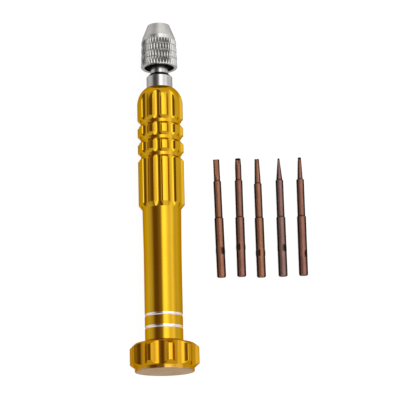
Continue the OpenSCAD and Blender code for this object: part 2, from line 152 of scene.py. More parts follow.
def make_floor():
    """Translucent paper over a light table, so that hardly a shadow shows on it."""
    mesh = bpy.data.meshes.new("floor")
    corners = [(-1, -1), (1, -1), (1, 1), (-1, 1)]
    mesh.from_pydata([(x * FLOOR_HALF, y * FLOOR_HALF, 0) for x, y in corners], [],
                     [(0, 1, 2, 3)])
    floor = bpy.data.objects.new("floor", mesh)
    bpy.context.scene.collection.objects.link(floor)
    made = Shader("floor_paper", color=(0.08, 0.08, 0.08), roughness=0.9,
                  Emission_Color=(1, 1, 1, 1), Emission_Strength=FLOOR_GLOW)
    grain = made.noise(scale=(900, 900, 900), detail=3)
    made.set_color(made.ramp(grain, [(0.3, (0.075, 0.075, 0.075)), (0.7, (0.085, 0.085, 0.085))]))
    mesh.materials.append(made.material)


# ---------------------------------------------------------------- materials


def fill_ramp(node, stops):
    """Gives a colour ramp its stops: (place, (red, green, blue)) pairs."""
    elements = node.color_ramp.elements
    while len(elements) > 1:
        elements.remove(elements[-1])
    elements[0].position = stops[0][0]
    elements[0].color = tuple(stops[0][1]) + (1,)
    for place, color in stops[1:]:
        elements.new(place).color = tuple(color) + (1,)


class Shader:
    """One Principled material and the few node patterns that its detail is made of."""

    def __init__(self, name, color, metallic=0.0, roughness=0.5, **sockets):
        self.material = bpy.data.materials.new(name)
        self.material.use_nodes = True
        self.tree = self.material.node_tree
        self.bsdf = self.tree.nodes["Principled BSDF"]
        self.bsdf.inputs["Base Color"].default_value = tuple(color) + (1,)
        self.bsdf.inputs["Metallic"].default_value = metallic
        self.bsdf.inputs["Roughness"].default_value = roughness
        for socket, value in sockets.items():
            self.bsdf.inputs[socket.replace("_", " ")].default_value = value
        self.place = self.new("ShaderNodeTexCoord").outputs["Object"]

    def new(self, kind):
        return self.tree.nodes.new(kind)

    def link(self, source, target):
        self.tree.links.new(source, target)

    def noise(self, scale, detail=2.0, rough=0.5, shift=0.0):
        """Noise whose grain along each axis of the piece is 1/scale metres long."""
        mapping = self.new("ShaderNodeMapping")
        mapping.inputs["Scale"].default_value = scale
        mapping.inputs["Location"].default_value = (shift, shift, shift)
        self.link(self.place, mapping.inputs["Vector"])
        noise = self.new("ShaderNodeTexNoise")
        noise.inputs["Scale"].default_value = 1.0
        noise.inputs["Detail"].default_value = detail
        noise.inputs["Roughness"].default_value = rough
        self.link(mapping.outputs[0], noise.inputs["Vector"])
        return noise.outputs[0]

    def turning(self, rings_per_m):
        """Fine rings round the axis, as a lathe tool leaves them, with little change around."""
        return self.noise(scale=(60, 60, rings_per_m), detail=3, rough=0.6)

    def ramp(self, source, stops):
        node = self.new("ShaderNodeValToRGB")
        fill_ramp(node, stops)
        self.link(source, node.inputs[0])
        return node.outputs["Color"]

    def span(self, source, low, high):
        """Maps 0..1 of the source to low..high."""
        node = self.new("ShaderNodeMapRange")
        node.inputs["To Min"].default_value = low
        node.inputs["To Max"].default_value = high
        self.link(source, node.inputs["Value"])
        return node.outputs[0]

    def mix(self, factor, a, b):
        """Mixes two colours, each a socket or a tuple."""
        node = self.new("ShaderNodeMix")
        node.data_type = "RGBA"
        self.link(factor, node.inputs["Factor"])
        for value, socket in ((a, node.inputs["A"]), (b, node.inputs["B"])):
            if isinstance(value, tuple):
                socket.default_value = value + (1,)
            else:
                self.link(value, socket)
        return node.outputs["Result"]

    def attribute(self, name):
        """The value of one of the piece's marks."""
        node = self.new("ShaderNodeAttribute")
        node.attribute_name = name
        return node.outputs["Fac"]

    def set_color(self, source):
        self.link(source, self.bsdf.inputs["Base Color"])

    def set_roughness(self, source):
        self.link(source, self.bsdf.inputs["Roughness"])

    def bump(self, *layers):
        """Stacks bumps: (height source, depth in metres) pairs."""
        below = None
        for height, depth in layers:
            node = self.new("ShaderNodeBump")
            node.inputs["Strength"].default_value = 1.0
            node.inputs["Distance"].default_value = depth
            self.link(height, node.inputs["Height"])
            if below is not None:
                self.link(below, node.inputs["Normal"])
            below = node.outputs[0]
        self.link(below, self.bsdf.inputs["Normal"])


# Black of the painted shade in the crease in front of the arbor's collar
SEAM_SHADE_BLACK = (0.012, 0.012, 0.011)
STEEL_EDGE_TINT = (0.45, 0.45, 0.45, 1)


def gold_anodised(name, deep, light):
    """Dyed and sealed anodised aluminium; bare, bright-cut metal where 'bare' is 1, and painted
    grey shade where the rim mark is 1, in the gap beside the cap's end disc. A faint orange
    emission is a painted glow, which shows in the darkest reflections."""
    ring_sheen = (0.52, 0.33, 0.04)
    # Grey of the painted shade on the cap's end rim, beside the disc
    rim_shade_grey = (0.26, 0.21, 0.18)
    bright_cut = (0.66, 0.64, 0.67)
    # The emission is a faint painted orange glow, not light from the dye
    made = Shader(name, color=light, metallic=1.0, roughness=0.12,
                  Specular_Tint=(0.60, 0.38, 0.12, 1), Emission_Color=(1.0, 0.18, 0.0, 1),
                  Emission_Strength=0.058)
    dye = made.noise(scale=(160, 160, 90), detail=4)
    rings = made.turning(7000)
    bare = made.attribute("bare")
    tint = made.ramp(dye, [(0.25, deep), (0.75, light)])
    tint = made.mix(made.span(rings, 0.0, 0.18), tint, ring_sheen)
    # Painted grey shade on the rim beside the cap's end disc, where the gap is dark
    tint = made.mix(made.attribute("rim_shade"), tint, rim_shade_grey)
    made.set_color(made.mix(bare, tint, bright_cut))
    made.set_roughness(made.span(rings, 0.07, 0.20))
    made.bump((rings, 1.2e-6), (made.noise(scale=(700, 700, 260), detail=2), 1.5e-6))
    return made.material


def nickel_steel():
    """Nickel-plated steel with the rings of a fine turning cut, and painted black shade where the
    seam mark is 1, in the crease in front of the collar."""
    made = Shader("nickel_steel", color=(0.40, 0.395, 0.39), metallic=1.0, roughness=0.2,
                  Specular_Tint=STEEL_EDGE_TINT)
    rings = made.turning(5200)
    haze = made.noise(scale=(420, 420, 420), detail=4)
    plate = made.ramp(haze, [(0.3, (0.36, 0.355, 0.35)), (0.7, (0.45, 0.445, 0.44))])
    # Painted black shade where the seam mark is 1
    made.set_color(made.mix(made.attribute("seam_shade"), plate, SEAM_SHADE_BLACK))
    made.set_roughness(made.span(rings, 0.14, 0.28))
    made.bump((rings, 1.6e-6), (haze, 1.0e-6))
    return made.material


def knurled_steel():
    """The nut: plated steel, with painted shade where 'groove' is 1, in the knurling and the
    bore.
    """
    made = Shader("knurled_steel", color=(0.47, 0.46, 0.435), metallic=1.0, roughness=0.34,
                  Specular_Tint=STEEL_EDGE_TINT)
    haze = made.noise(scale=(500, 500, 500), detail=4)
    rings = made.turning(4200)
    groove = made.attribute("groove")
    plate = made.ramp(haze, [(0.3, (0.42, 0.41, 0.39)), (0.7, (0.52, 0.51, 0.485))])
    # Painted shade: dark grey in the knurling's cuts and in the bore
    made.set_color(made.mix(groove, plate, (0.12, 0.115, 0.11)))
    made.set_roughness(made.span(rings, 0.26, 0.42))
    made.bump((rings, 2.0e-6), (haze, 1.5e-6))
    return made.material


def spring_steel():
    """Hardened and ground steel of collet, screw and shim, slightly straw-coloured."""
    made = Shader("spring_steel", color=(0.42, 0.40, 0.38), metallic=1.0, roughness=0.28)
    temper = made.noise(scale=(300, 300, 300), detail=5)
    scratch = made.noise(scale=(2600, 2600, 240), detail=3, shift=4.0)
    made.set_color(made.ramp(temper, [(0.3, (0.36, 0.345, 0.33)), (0.7, (0.47, 0.44, 0.40))]))
    made.set_roughness(made.span(scratch, 0.20, 0.36))
    made.bump((scratch, 1.5e-6))
    return made.material


def bearing_steel():
    """Polished bearing steel with a breath of oil on it."""
    made = Shader("bearing_steel", color=(0.72, 0.72, 0.73), metallic=1.0, roughness=0.08)
    oil = made.noise(scale=(800, 800, 800), detail=3)
    made.set_color(made.ramp(oil, [(0.35, (0.66, 0.655, 0.64)), (0.65, (0.76, 0.76, 0.77))]))
    made.set_roughness(made.span(oil, 0.05, 0.16))
    made.bump((oil, 0.6e-6))
    return made.material


def cage_brass():
    """Pressed brass of the ball cage."""
    made = Shader("cage_brass", color=(0.70, 0.48, 0.20), metallic=1.0, roughness=0.3)
    stain = made.noise(scale=(900, 900, 900), detail=5)
    made.set_color(made.ramp(stain, [(0.3, (0.60, 0.38, 0.14)), (0.7, (0.78, 0.56, 0.26))]))
    made.set_roughness(made.span(stain, 0.22, 0.42))
    made.bump((stain, 2.0e-6))
    return made.material


def matte_disc():
    """Fine-blasted disc in the cap: warm beige, with the faintest rings left by facing it."""
    made = Shader("matte_disc", color=(0.35, 0.22, 0.11), metallic=0.8, roughness=0.62)
    blast = made.noise(scale=(9000, 9000, 9000), detail=3)
    cloud = made.noise(scale=(260, 260, 260), detail=4, shift=2.0)
    made.set_color(made.ramp(cloud, [(0.3, (0.32, 0.195, 0.090)), (0.7, (0.385, 0.245, 0.125))]))
    made.set_roughness(made.span(blast, 0.52, 0.72))
    made.bump((blast, 6.0e-6), (made.attribute("facing"), 3.0e-6))
    return made.material


def seal_rubber():
    """Black nitrile of the O-ring, with a dusty bloom."""
    made = Shader("seal_rubber", color=(0.02, 0.02, 0.02), roughness=0.55)
    bloom = made.noise(scale=(1500, 1500, 1500), detail=4)
    made.set_color(made.ramp(bloom, [(0.4, (0.013, 0.013, 0.014)), (0.75, (0.05, 0.05, 0.05))]))
    made.set_roughness(made.span(bloom, 0.45, 0.75))
    made.bump((bloom, 4.0e-6))
    return made.material


def white_nylon():
    """Waxy white nylon of the thrust washer."""
    made = Shader("white_nylon", color=(0.80, 0.79, 0.74), roughness=0.42,
                  Subsurface_Weight=0.2, Subsurface_Scale=0.0006)
    cloud = made.noise(scale=(600, 600, 600), detail=4)
    made.set_color(made.ramp(cloud, [(0.3, (0.74, 0.73, 0.67)), (0.7, (0.83, 0.82, 0.78))]))
    made.set_roughness(made.span(cloud, 0.36, 0.52))
    made.bump((cloud, 3.0e-6))
    return made.material


def brown_bit_steel(name, warm, deep):
    """Brown-oxided tool steel, drawn lengthwise; much darker with painted shade where the flank
    or groove mark is 1, and black where 'burnt' is 1."""
    drawn_streak = tuple(c * 1.8 for c in warm)
    # Colour of the painted shade on the sides, in the dents and along the steps
    dark = tuple(c * 0.12 for c in deep)
    burnt_black = (0.004, 0.0035, 0.0035)
    made = Shader(name, color=warm, metallic=0.55, roughness=0.42,
                  Specular_IOR_Level=0.1, Specular_Tint=(0.20, 0.12, 0.10, 1))
    drawn = made.noise(scale=(5200, 5200, 160), detail=4, rough=0.6)
    patch = made.noise(scale=(700, 700, 240), detail=4, shift=7.0)
    shade = made.mix(made.span(patch, -0.6, 1.6), deep, warm)
    shade = made.mix(made.span(drawn, 0.0, 0.5), shade, drawn_streak)
    # Painted shade: darker on the sides, in the dents and along the steps
    shade = made.mix(made.attribute("flank_shade"), shade, dark)
    shade = made.mix(made.attribute("groove"), shade, dark)
    made.set_color(made.mix(made.attribute("burnt"), shade, burnt_black))
    made.set_roughness(made.span(drawn, 0.34, 0.52))
    made.bump((drawn, 2.2e-6), (patch, 2.0e-6))
    return made.material


# ---------------------------------------------------------------- turning


def placement(origin, forward):
    """Lays a piece drawn along +Z from origin along forward, with its +X level."""
    along = Vector(forward).normalized()
    level = along.cross(Vector((0, 0, 1))).normalized()
    down = along.cross(level)
    turn = Matrix((level, down, along)).transposed().to_4x4()
    return Matrix.Translation(Vector(origin)) @ turn


SIDES = 96
FINE_SIDES = 128
SHARP_ANGLE = math.radians(38)
# What stations may differ by when they are compared, and a radius outside every piece
TINY = 1e-6
FAR = 100.0

# Fillets: steps of the arc, the most that it takes of a side, where the points beside it are
# as a share of the fillet's reach and at most, and the half angle of a corner left as it is
FILLET_STEPS = 3
FILLET_SHARE = 0.45
HOLD_SHARE = 0.5
HOLD_MOST = 0.03
NEARLY_STRAIGHT = 1.55


def rounded(points):
    """An outline from (station, radius, fillet) corners. Each corner with a fillet becomes an
    arc, with one more point on either side of it so that smooth shading stays at the corner."""
    out = []
    for i, (z, r, fillet) in enumerate(points):
        corner = np.array([z, r], float)
        if fillet <= 0 or i in (0, len(points) - 1):
            out.append((z, r))
            continue
        back = np.array(points[i - 1][:2], float) - corner
        ahead = np.array(points[i + 1][:2], float) - corner
        back_len = np.linalg.norm(back)
        ahead_len = np.linalg.norm(ahead)
        back = back / back_len
        ahead = ahead / ahead_len
        half = math.acos(max(-1.0, min(1.0, float(back @ ahead)))) / 2
        if half > NEARLY_STRAIGHT:
            out.append((z, r))
            continue
        room = FILLET_SHARE * min(back_len, ahead_len)
        reach = min(fillet / math.tan(half), room)
        radius = reach * math.tan(half)
        middle = back + ahead
        centre = corner + middle / np.linalg.norm(middle) * radius / math.sin(half)
        start = corner + back * reach
        end = corner + ahead * reach
        hold = min(HOLD_SHARE * reach, HOLD_MOST)
        out.append(tuple(start + back * hold))
        sweep = math.pi - 2 * half
        a = start - centre
        b = end - centre
        for k in range(FILLET_STEPS + 1):
            t = k / FILLET_STEPS
            p = (math.sin((1 - t) * sweep) * a + math.sin(t * sweep) * b) / math.sin(sweep)
            out.append(tuple(centre + p))
        out.append(tuple(end + ahead * hold))
    return out


def arc(centre, radius, start, end, steps):
    """Points on an arc of an outline, between two angles from the axis, in degrees."""
    turns = [math.radians(start + (end - start) * k / steps) for k in range(steps + 1)]
    return [(centre[0] + radius * math.cos(t), centre[1] + radius * math.sin(t)) for t in turns]


def dense(z0, z1, r0, r1, step):
    """Evenly spaced points of a straight stretch of an outline."""
    count = max(1, round(abs(z1 - z0) / step))
    return [(z0 + (z1 - z0) * k / count, r0 + (r1 - r0) * k / count) for k in range(count + 1)]


def refine(outline, where, step):
    """Adds points to the stretches of a closed outline whose middle satisfies where(z, r)."""
    out = []
    for here, there in zip(outline, outline[1:] + outline[:1]):
        out.append(here)
        length = math.dist(here, there)
        middle = ((here[0] + there[0]) / 2, (here[1] + there[1]) / 2)
        count = math.ceil(length / step)
        if where(*middle) and count > 1:
            out += [(here[0] + (there[0] - here[0]) * k / count,
                     here[1] + (there[1] - here[1]) * k / count) for k in range(1, count)]
    return out


def even_angles(count):
    return np.arange(count) * 2 * math.pi / count


def grid_faces(rows, columns, closed, flip):
    """Faces between the points of a grid whose columns go round the axis. Its rows close up
    too, or its first and last row are one point each. With flip, cells become triangles."""
    index = np.arange(rows * columns).reshape(rows, columns)
    if not closed:
        index[0, :] = index[0, 0]
        index[-1, :] = index[-1, 0]
    faces = []
    for i in range(rows if closed else rows - 1):
        lower = index[i]
        upper = index[(i + 1) % rows]
        for j in range(columns):
            k = (j + 1) % columns
            a, b, c, d = quad = (lower[j], lower[k], upper[k], upper[j])
            corners = tuple(v for n, v in enumerate(quad) if v != quad[n - 1])
            if flip is None or len(corners) < 4:
                faces.append(corners)
            elif flip[i, j]:
                faces += [(a, b, d), (b, c, d)]
            else:
                faces += [(a, b, c), (a, c, d)]
    return faces


def lathe(name, outline, at, material, angles=None, shape=None, marks=None, closed=False,
          flip=None):
    """A turned piece. shape(z, r, angle) gives the radius on the whole grid; marks is a
    dictionary of attribute name to a function of the same kind with values from 0 to 1.
    An outline that isn't closed begins and ends on the axis. flip, where it is given, says
    along which diagonal each cell of the grid is split."""
    angles = even_angles(SIDES) if angles is None else angles
    stations, radii = np.array(outline, float).T
    a, z = np.meshgrid(angles, stations)
    r = np.broadcast_to(radii[:, None], z.shape)
    radius = r if shape is None else shape(z, r, a)
    points = np.stack([radius * np.cos(a), radius * np.sin(a), z], axis=-1).reshape(-1, 3)
    faces = grid_faces(*z.shape, closed, flip)
    # Only the points that faces use go into the mesh, so that none is left over on the axis
    used, compact = np.unique(np.array([v for f in faces for v in f]), return_inverse=True)
    renumbered = iter(compact.tolist())
    faces = [tuple(next(renumbered) for _ in f) for f in faces]
    mesh = bpy.data.meshes.new(name)
    mesh.from_pydata((points[used] * MM).tolist(), [], faces)
    mesh.shade_smooth()
    mesh.set_sharp_from_angle(angle=SHARP_ANGLE)
    for mark, value in (marks or {}).items():
        layer = mesh.attributes.new(mark, "FLOAT", "POINT")
        field = np.broadcast_to(value(z, r, a), z.shape).reshape(-1)[used]
        layer.data.foreach_set("value", field.astype(np.float32))
    mesh.materials.append(material)
    piece = bpy.data.objects.new(name, mesh)
    piece.matrix_world = at
    bpy.context.scene.collection.objects.link(piece)
    return piece


def finish_piece(piece, body, slot, *stands_for):
    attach(piece, body)
    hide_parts(*stands_for)


def smooth_min(a, b, width):
    """The lower of a and b, with the crease between them rounded."""
    h = np.clip(0.5 + 0.5 * (b - a) / width, 0, 1)
    return b + (a - b) * h - width * h * (1 - h)


def smooth_step(low, high, value):
    """Rises smoothly from 0 at low to 1 at high, or falls where low is the higher one."""
    t = np.clip((value - low) / (high - low), 0, 1)
    return t * t * (3 - 2 * t)


def sector_angle(angle, count, turn):
    """Angle from the nearest of count evenly spaced directions, the first at turn degrees."""
    pitch = 2 * math.pi / count
    return (angle - math.radians(turn) + pitch / 2) % pitch - pitch / 2


def flute_radius(angle, count, turn, cutter, distance):
    """Radius to the floor of round flutes, FAR beside them. The cutter's radius and the
    distance of its axis from the piece's are given."""
    off = sector_angle(angle, count, turn)
    inside = np.maximum(cutter ** 2 - (distance * np.sin(off)) ** 2, 0)
    floor = distance * np.cos(off) - np.sqrt(inside)
    beside = np.abs(distance * np.sin(off)) >= cutter
    return np.where(beside, FAR, floor)


def flute_angles(count, turn, edge, per_flute, per_land, close):
    """Angles for a fluted piece: closest together within close degrees of the flutes' edges,
    which are edge degrees from their middles."""
    pitch = 360 / count
    near = np.linspace(-close, close, 9)
    flute = np.linspace(-edge + close, edge - close, per_flute)[1:-1]
    land = np.linspace(edge + close, pitch - edge - close, per_land)[1:-1]
    one = [*(-edge + n for n in near), *flute, *(edge + n for n in near), *land]
    return np.radians([turn + i * pitch + a for i in range(count) for a in one])


def threaded(crest, pitch, z0, z1):
    """Shape function that cuts a right-hand thread where the outline follows its crest. The
    thread has a narrow flat on crest and root, and runs out at both ends."""
    depth = 0.55 * pitch
    run_out = 0.8 * pitch

    def shape(z, r, angle):
        wave = (z / pitch - angle / (2 * math.pi)) % 1.0
        from_root = 0.5 - np.abs(wave - 0.5)
        ridge = np.clip(from_root * 2.5 - 0.1, 0, 1)
        start = smooth_step(z0, z0 + run_out, z)
        stop = smooth_step(z1, z1 - run_out, z)
        return np.where(np.isclose(r, crest), crest - depth + depth * ridge * start * stop, r)

    return shape


# ---------------------------------------------------------------- driver

cap_face = mounts["cap_end_face"]
driver = placement(cap_face["pos_m"], -Vector(cap_face["axis"]))


def extent(node):
    """First station, last station and largest radius of a driver node, in millimetres."""
    inverse = driver.inverted()
    spots = [inverse @ v.co for v in nodes[node].data.vertices]
    stations = [p.z / MM for p in spots]
    return min(stations), max(stations), max(math.hypot(p.x, p.y) for p in spots) / MM


# The bright-cut lines, which are on surfaces farther than this radius from the axis
LINE_W = 0.7
LINE_DEPTH = 0.16
OUTSIDE_R = 4.5


def line_edges(z, radius):
    """The V of one bright-cut line across a cylinder."""
    return [(z - LINE_W / 2, radius, 0.02), (z - LINE_W / 8, radius - LINE_DEPTH, 0.02),
            (z + LINE_W / 8, radius - LINE_DEPTH, 0.02), (z + LINE_W / 2, radius, 0.02)]


def bare_between(*spans):
    """Mark function: 1 on outside surfaces between the stations given, in pairs."""
    def mark(z, r, angle):
        return (r > OUTSIDE_R) * sum(
            ((z >= low - TINY) & (z <= high + TINY)).astype(float) for low, high in spans)
    return mark


# The angle round a driver piece's axis that points down at the bench
DOWN = 90

# Grip: its flutes, with the cutter's radius and distance from the axis, and half the angle
# that a flute takes at the surface
GRIP_FLUTES = 10
GRIP_TURN = DOWN - 6.6
GRIP_CUTTER = 1.4
GRIP_CUTTER_POS = 6.7
GRIP_FLUTE_EDGE = 11.17
GRIP_FLUTE_ROUND = 0.17
# Handle: positions and depths from its rear, but the arbor's seat from its front
BARREL_R = 4.95
BARREL_FRONT_R = 5.1
GRIP_R = 6.05
DOME_R = 5.5
DOME_FRONT_R = 3.75
DOME_STEPS = 30
GROOVE_DEPTH = 0.8
GROOVE_W = 2.4
GROOVE_EDGE = 0.08
LINE_POS = 3.2
TAPER_POS = 19.7
TAPER_ROUND = 4.0
GRIP_POS = 31.3
GRIP_CHAMFER = 1.2
GROOVES = [45.5, 50.0, 54.5]
# Inside the grooves, deeper than their rim, the flutes' edges are sharper
GROOVE_RIM = 0.05
GROOVE_FLUTE_ROUND = 0.04
STORE_R = 3.5
STORE_DEPTH = 41.5
STORE_CONE = 2
PLUG_BORE_R = 4.0
PLUG_BORE_END = 6.3
RING_SEAT_R = 4.1
RING_SEAT_END = 1.7
HANDLE_MOUTH_R = 4.3
ARBOR_SEAT_R = 2.5
ARBOR_SEAT_DEPTH = 16


def make_handle(material):
    rear, front, _ = extent("handle_body")
    line = rear + LINE_POS
    dome_z = front - math.sqrt(DOME_R ** 2 - (DOME_FRONT_R - GRIP_R + DOME_R) ** 2)
    inside = [(rear + STORE_DEPTH + STORE_CONE, 0, 0), (rear + STORE_DEPTH, STORE_R, 0.3),
              (rear + PLUG_BORE_END + 0.2, STORE_R, 0.1),
              (rear + PLUG_BORE_END, PLUG_BORE_R, 0.05),
              (rear + RING_SEAT_END, PLUG_BORE_R, 0.05),
              (rear + RING_SEAT_END, RING_SEAT_R, 0),
              (rear + HANDLE_MOUTH_R - RING_SEAT_R, RING_SEAT_R, 0.05),
              (rear, HANDLE_MOUTH_R, 0.05)]
    barrel = [(rear, BARREL_R - LINE_DEPTH, 0.03), (rear + LINE_W / 2, BARREL_R, 0.02),
              *line_edges(line, BARREL_R), (rear + TAPER_POS, BARREL_R, TAPER_ROUND),
              (rear + GRIP_POS, BARREL_FRONT_R, 0.12),
              (rear + GRIP_POS + GRIP_CHAMFER, GRIP_R, 0.08)]
    for groove in GROOVES:
        start = rear + groove - GROOVE_W / 2
        end = rear + groove + GROOVE_W / 2
        low = GRIP_R - GROOVE_DEPTH
        barrel += [(start, GRIP_R, GROOVE_EDGE), (start + GROOVE_DEPTH, low, GROOVE_EDGE),
                   (end - GROOVE_DEPTH, low, GROOVE_EDGE), (end, GRIP_R, GROOVE_EDGE)]
    # One more row keeps the shading of the grip straight up to the dome
    barrel.append((dome_z - 0.3, GRIP_R, 0))
    side = math.degrees(math.acos((front - dome_z) / DOME_R))
    dome = arc((dome_z, GRIP_R - DOME_R), DOME_R, 90, side, DOME_STEPS)
    nose = [(front, DOME_FRONT_R, 0.05), (front, ARBOR_SEAT_R, 0.05),
            (front - ARBOR_SEAT_DEPTH, ARBOR_SEAT_R, 0.1), (front - ARBOR_SEAT_DEPTH, 0, 0)]
    outline = rounded(inside + barrel)
    outline += dome[:-1] + rounded([(*dome[-2], 0)] + nose)[1:]

    def shape(z, r, angle):
        floor = flute_radius(angle, GRIP_FLUTES, GRIP_TURN, GRIP_CUTTER, GRIP_CUTTER_POS)
        near_grooves = (z > rear + GROOVES[0] - GROOVE_W) & (z < rear + GROOVES[-1] + GROOVE_W)
        in_groove = near_grooves & (r < GRIP_R - GROOVE_RIM)
        return smooth_min(r, floor, np.where(in_groove, GROOVE_FLUTE_ROUND, GRIP_FLUTE_ROUND))

    angles = flute_angles(GRIP_FLUTES, GRIP_TURN, GRIP_FLUTE_EDGE, per_flute=14, per_land=8,
                          close=1.6)
    marks = {"bare": bare_between((rear, rear + LINE_W / 2),
                                  (line - LINE_W / 2, line + LINE_W / 2))}
    piece = lathe("handle", outline, driver, material, angles, shape, marks)
    finish_piece(piece, "handle", "gold_anodised", "handle_body")


# Cap: the flutes' floors and edges are given, their cutter follows from them
CAP_R = 9.0
CAP_FLUTES = 10
CAP_TURN = DOWN - 7.2
CAP_FLOOR_R = 7.75
CAP_FLUTE_EDGE = 14.0
CAP_FLUTE_ROUND = 0.30
CAP_END_R = 7.7
CAP_RIM_R = 7.73
CAP_RIM_LEN = 0.9
CAP_FRONT_R = 7.7
CAP_FACE_R = 5.6
CAP_DOME_LEN = 0.55
CAP_END_CHAMFER = 1.9
CAP_FRONT_CHAMFER = 1.55
CAP_ROW = 0.12
# Painted shade on the end rim: full up to the first distance from the end face, gone at the
# second
CAP_RIM_SHADE = (0.1, 0.3)
DISC_T = 0.8
DISC_RECESS_R = 7.36
SPIGOT_R = 4.55
SPIGOT_BORE_R = 4.56
BEARING_STATIONS = (2.9, 4.9)
BEARING_SEAT_R = 3.51
BOSS_BORE_R = 2.5
WASHER_SEAT_R = 4.3
WASHER_SEAT_DEPTH = 0.35


def make_cap(material):
    end, front, _ = extent("swivel_cap")
    # Distance of the cutter's axis
    distance = ((CAP_R ** 2 - CAP_FLOOR_R ** 2) / 2
                / (CAP_R * math.cos(math.radians(CAP_FLUTE_EDGE)) - CAP_FLOOR_R))
    seat = front - WASHER_SEAT_DEPTH
    back, shoulder = BEARING_STATIONS
    corners = [(DISC_T, DISC_RECESS_R, 0), (end, DISC_RECESS_R, 0.03),
               (end, CAP_END_R, 0.12), (end + CAP_RIM_LEN, CAP_RIM_R, 0.2),
               (end + CAP_END_CHAMFER, CAP_R, 0.12), (front - CAP_FRONT_CHAMFER, CAP_R, 0.2),
               (front - CAP_DOME_LEN, CAP_FRONT_R, 0.8), (front, CAP_FACE_R, 0.5),
               (front, WASHER_SEAT_R, 0.05), (seat, WASHER_SEAT_R, 0), (seat, BOSS_BORE_R, 0),
               (shoulder, BOSS_BORE_R, 0), (shoulder, BEARING_SEAT_R, 0),
               (back, BEARING_SEAT_R, 0), (back, SPIGOT_BORE_R, 0),
               (DISC_T, SPIGOT_BORE_R, 0)]
    # The chamfers take more rows, because the flutes' edges run across them in curves
    outline = refine(rounded(corners), lambda z, r: r > CAP_END_R - 0.02, CAP_ROW)

    def shape(z, r, angle):
        floor = flute_radius(angle, CAP_FLUTES, CAP_TURN, distance - CAP_FLOOR_R, distance)
        return smooth_min(r, floor, CAP_FLUTE_ROUND)

    # Painted shade: grey on the cap's end rim and the recess wall beside the disc
    def rim_shade(z, r, angle):
        return smooth_step(end + CAP_RIM_SHADE[1], end + CAP_RIM_SHADE[0], z)

    angles = flute_angles(CAP_FLUTES, CAP_TURN, CAP_FLUTE_EDGE, per_flute=18, per_land=5,
                          close=2.2)
    piece = lathe("swivel_cap_shell", outline, driver, material, angles, shape,
                  {"rim_shade": rim_shade}, closed=True)
    finish_piece(piece, "cap", "gold_anodised", "swivel_cap")


# Distance between the rings that facing left on the disc, and the radius of the first one
FACING_PITCH = 0.5
FACING_FIRST_R = 0.4


def make_disc(material):
    end, back, radius = extent("cap_disc")
    outline = rounded([(end, 0, 0), (end, FACING_FIRST_R, 0.05), (end, radius, 0.08),
                       (end + DISC_T, radius, 0.05), (end + DISC_T, SPIGOT_R, 0),
                       (back, SPIGOT_R, 0.1), (back, 0, 0)])
    outline = refine(outline, lambda z, r: z < end + 0.05, FACING_PITCH / 2)

    def facing(z, r, angle):
        return 0.5 + 0.5 * np.cos(r * 2 * math.pi / FACING_PITCH)

    piece = lathe("cap_end_disc", outline, driver, material, even_angles(FINE_SIDES),
                  marks={"facing": facing})
    finish_piece(piece, "cap", "matte_disc", "cap_disc")


def with_thread(before, after, crest, z0, z1, step):
    """An outline that runs along a thread's crest between two lists of corners."""
    thread = dense(z0, z1, crest, crest, step)
    return rounded(before) + thread + rounded([(z1, crest, 0)] + after)[1:]


# Tail plug: the screw hole ends behind the collar's front face, thread and hollow begin in
# front of it
PLUG_COLLAR_POS = 7.9
PLUG_BOSS_R = 2.2
SCREW_HOLE_R = 1.27
SCREW_HOLE_END = 0.6
PLUG_NECK_R = 2.95
PLUG_CREST_R = 3.95
PLUG_PITCH = 0.75
PLUG_THREAD_POS = 1.6
PLUG_FRONT_R = 3.3
PLUG_HOLLOW_R = 2.5
PLUG_HOLLOW_POS = 2
RING_GAP = 0.2


def make_plug(material):
    rear, front, _ = extent("tail_plug")
    # The collar's front face lies against the handle, in the middle of the rear bright line
    face = extent("plug_o_ring")[0] - RING_GAP
    line = face - LINE_W / 2
    hole = face - SCREW_HOLE_END
    hollow = face + PLUG_HOLLOW_POS
    thread = (face + PLUG_THREAD_POS, front)
    before = [(hole, 0, 0), (hole, SCREW_HOLE_R, 0), (rear, SCREW_HOLE_R, 0.05),
              (rear, PLUG_BOSS_R, 0.08), (PLUG_COLLAR_POS, PLUG_BOSS_R, 0),
              (PLUG_COLLAR_POS, BARREL_R, 0.06), (line, BARREL_R, 0.02),
              (face, BARREL_R - LINE_DEPTH, 0.03), (face, PLUG_NECK_R, 0.05),
              (thread[0], PLUG_NECK_R, 0.05)]
    after = [(front, PLUG_FRONT_R, 0), (front, PLUG_HOLLOW_R, 0.08),
             (hollow, PLUG_HOLLOW_R, 0.1), (hollow, 0, 0)]
    outline = with_thread(before, after, PLUG_CREST_R, *thread, PLUG_PITCH / 10)
    piece = lathe("tail_plug_turned", outline, driver, material, even_angles(FINE_SIDES),
                  threaded(PLUG_CREST_R, PLUG_PITCH, *thread),
                  {"bare": bare_between((line, face + 0.01))})
    finish_piece(piece, "plug", "gold_anodised", "tail_plug")


# Arbor: lengths of collar and thread, depths of socket and bore from the front
ARBOR_SHANK_R = 2.49
ARBOR_LEAD_R = 1.9
ARBOR_LEAD_LEN = 0.6
COLLAR_R = 3.45
COLLAR_LEN = 3.9
COLLAR_CHAMFER = 0.8
ARBOR_NECK_R = 2.4
ARBOR_CREST_R = 2.45
ARBOR_PITCH = 0.5
ARBOR_THREAD_LEN = 5.0
SOCKET_R = 1.7
SOCKET_DEPTH = 3
ARBOR_BORE_R = 1.45
ARBOR_BORE_DEPTH = 6.5
# Painted shade of the crease at the seam: its middle in front of the collar's front edge, half
# its width where it is fully dark and where it ends, and a radius between neck and socket
SEAM_POS = 0.04
SEAM_HALF = (0.12, 0.26)
SEAM_FROM_R = 2.3


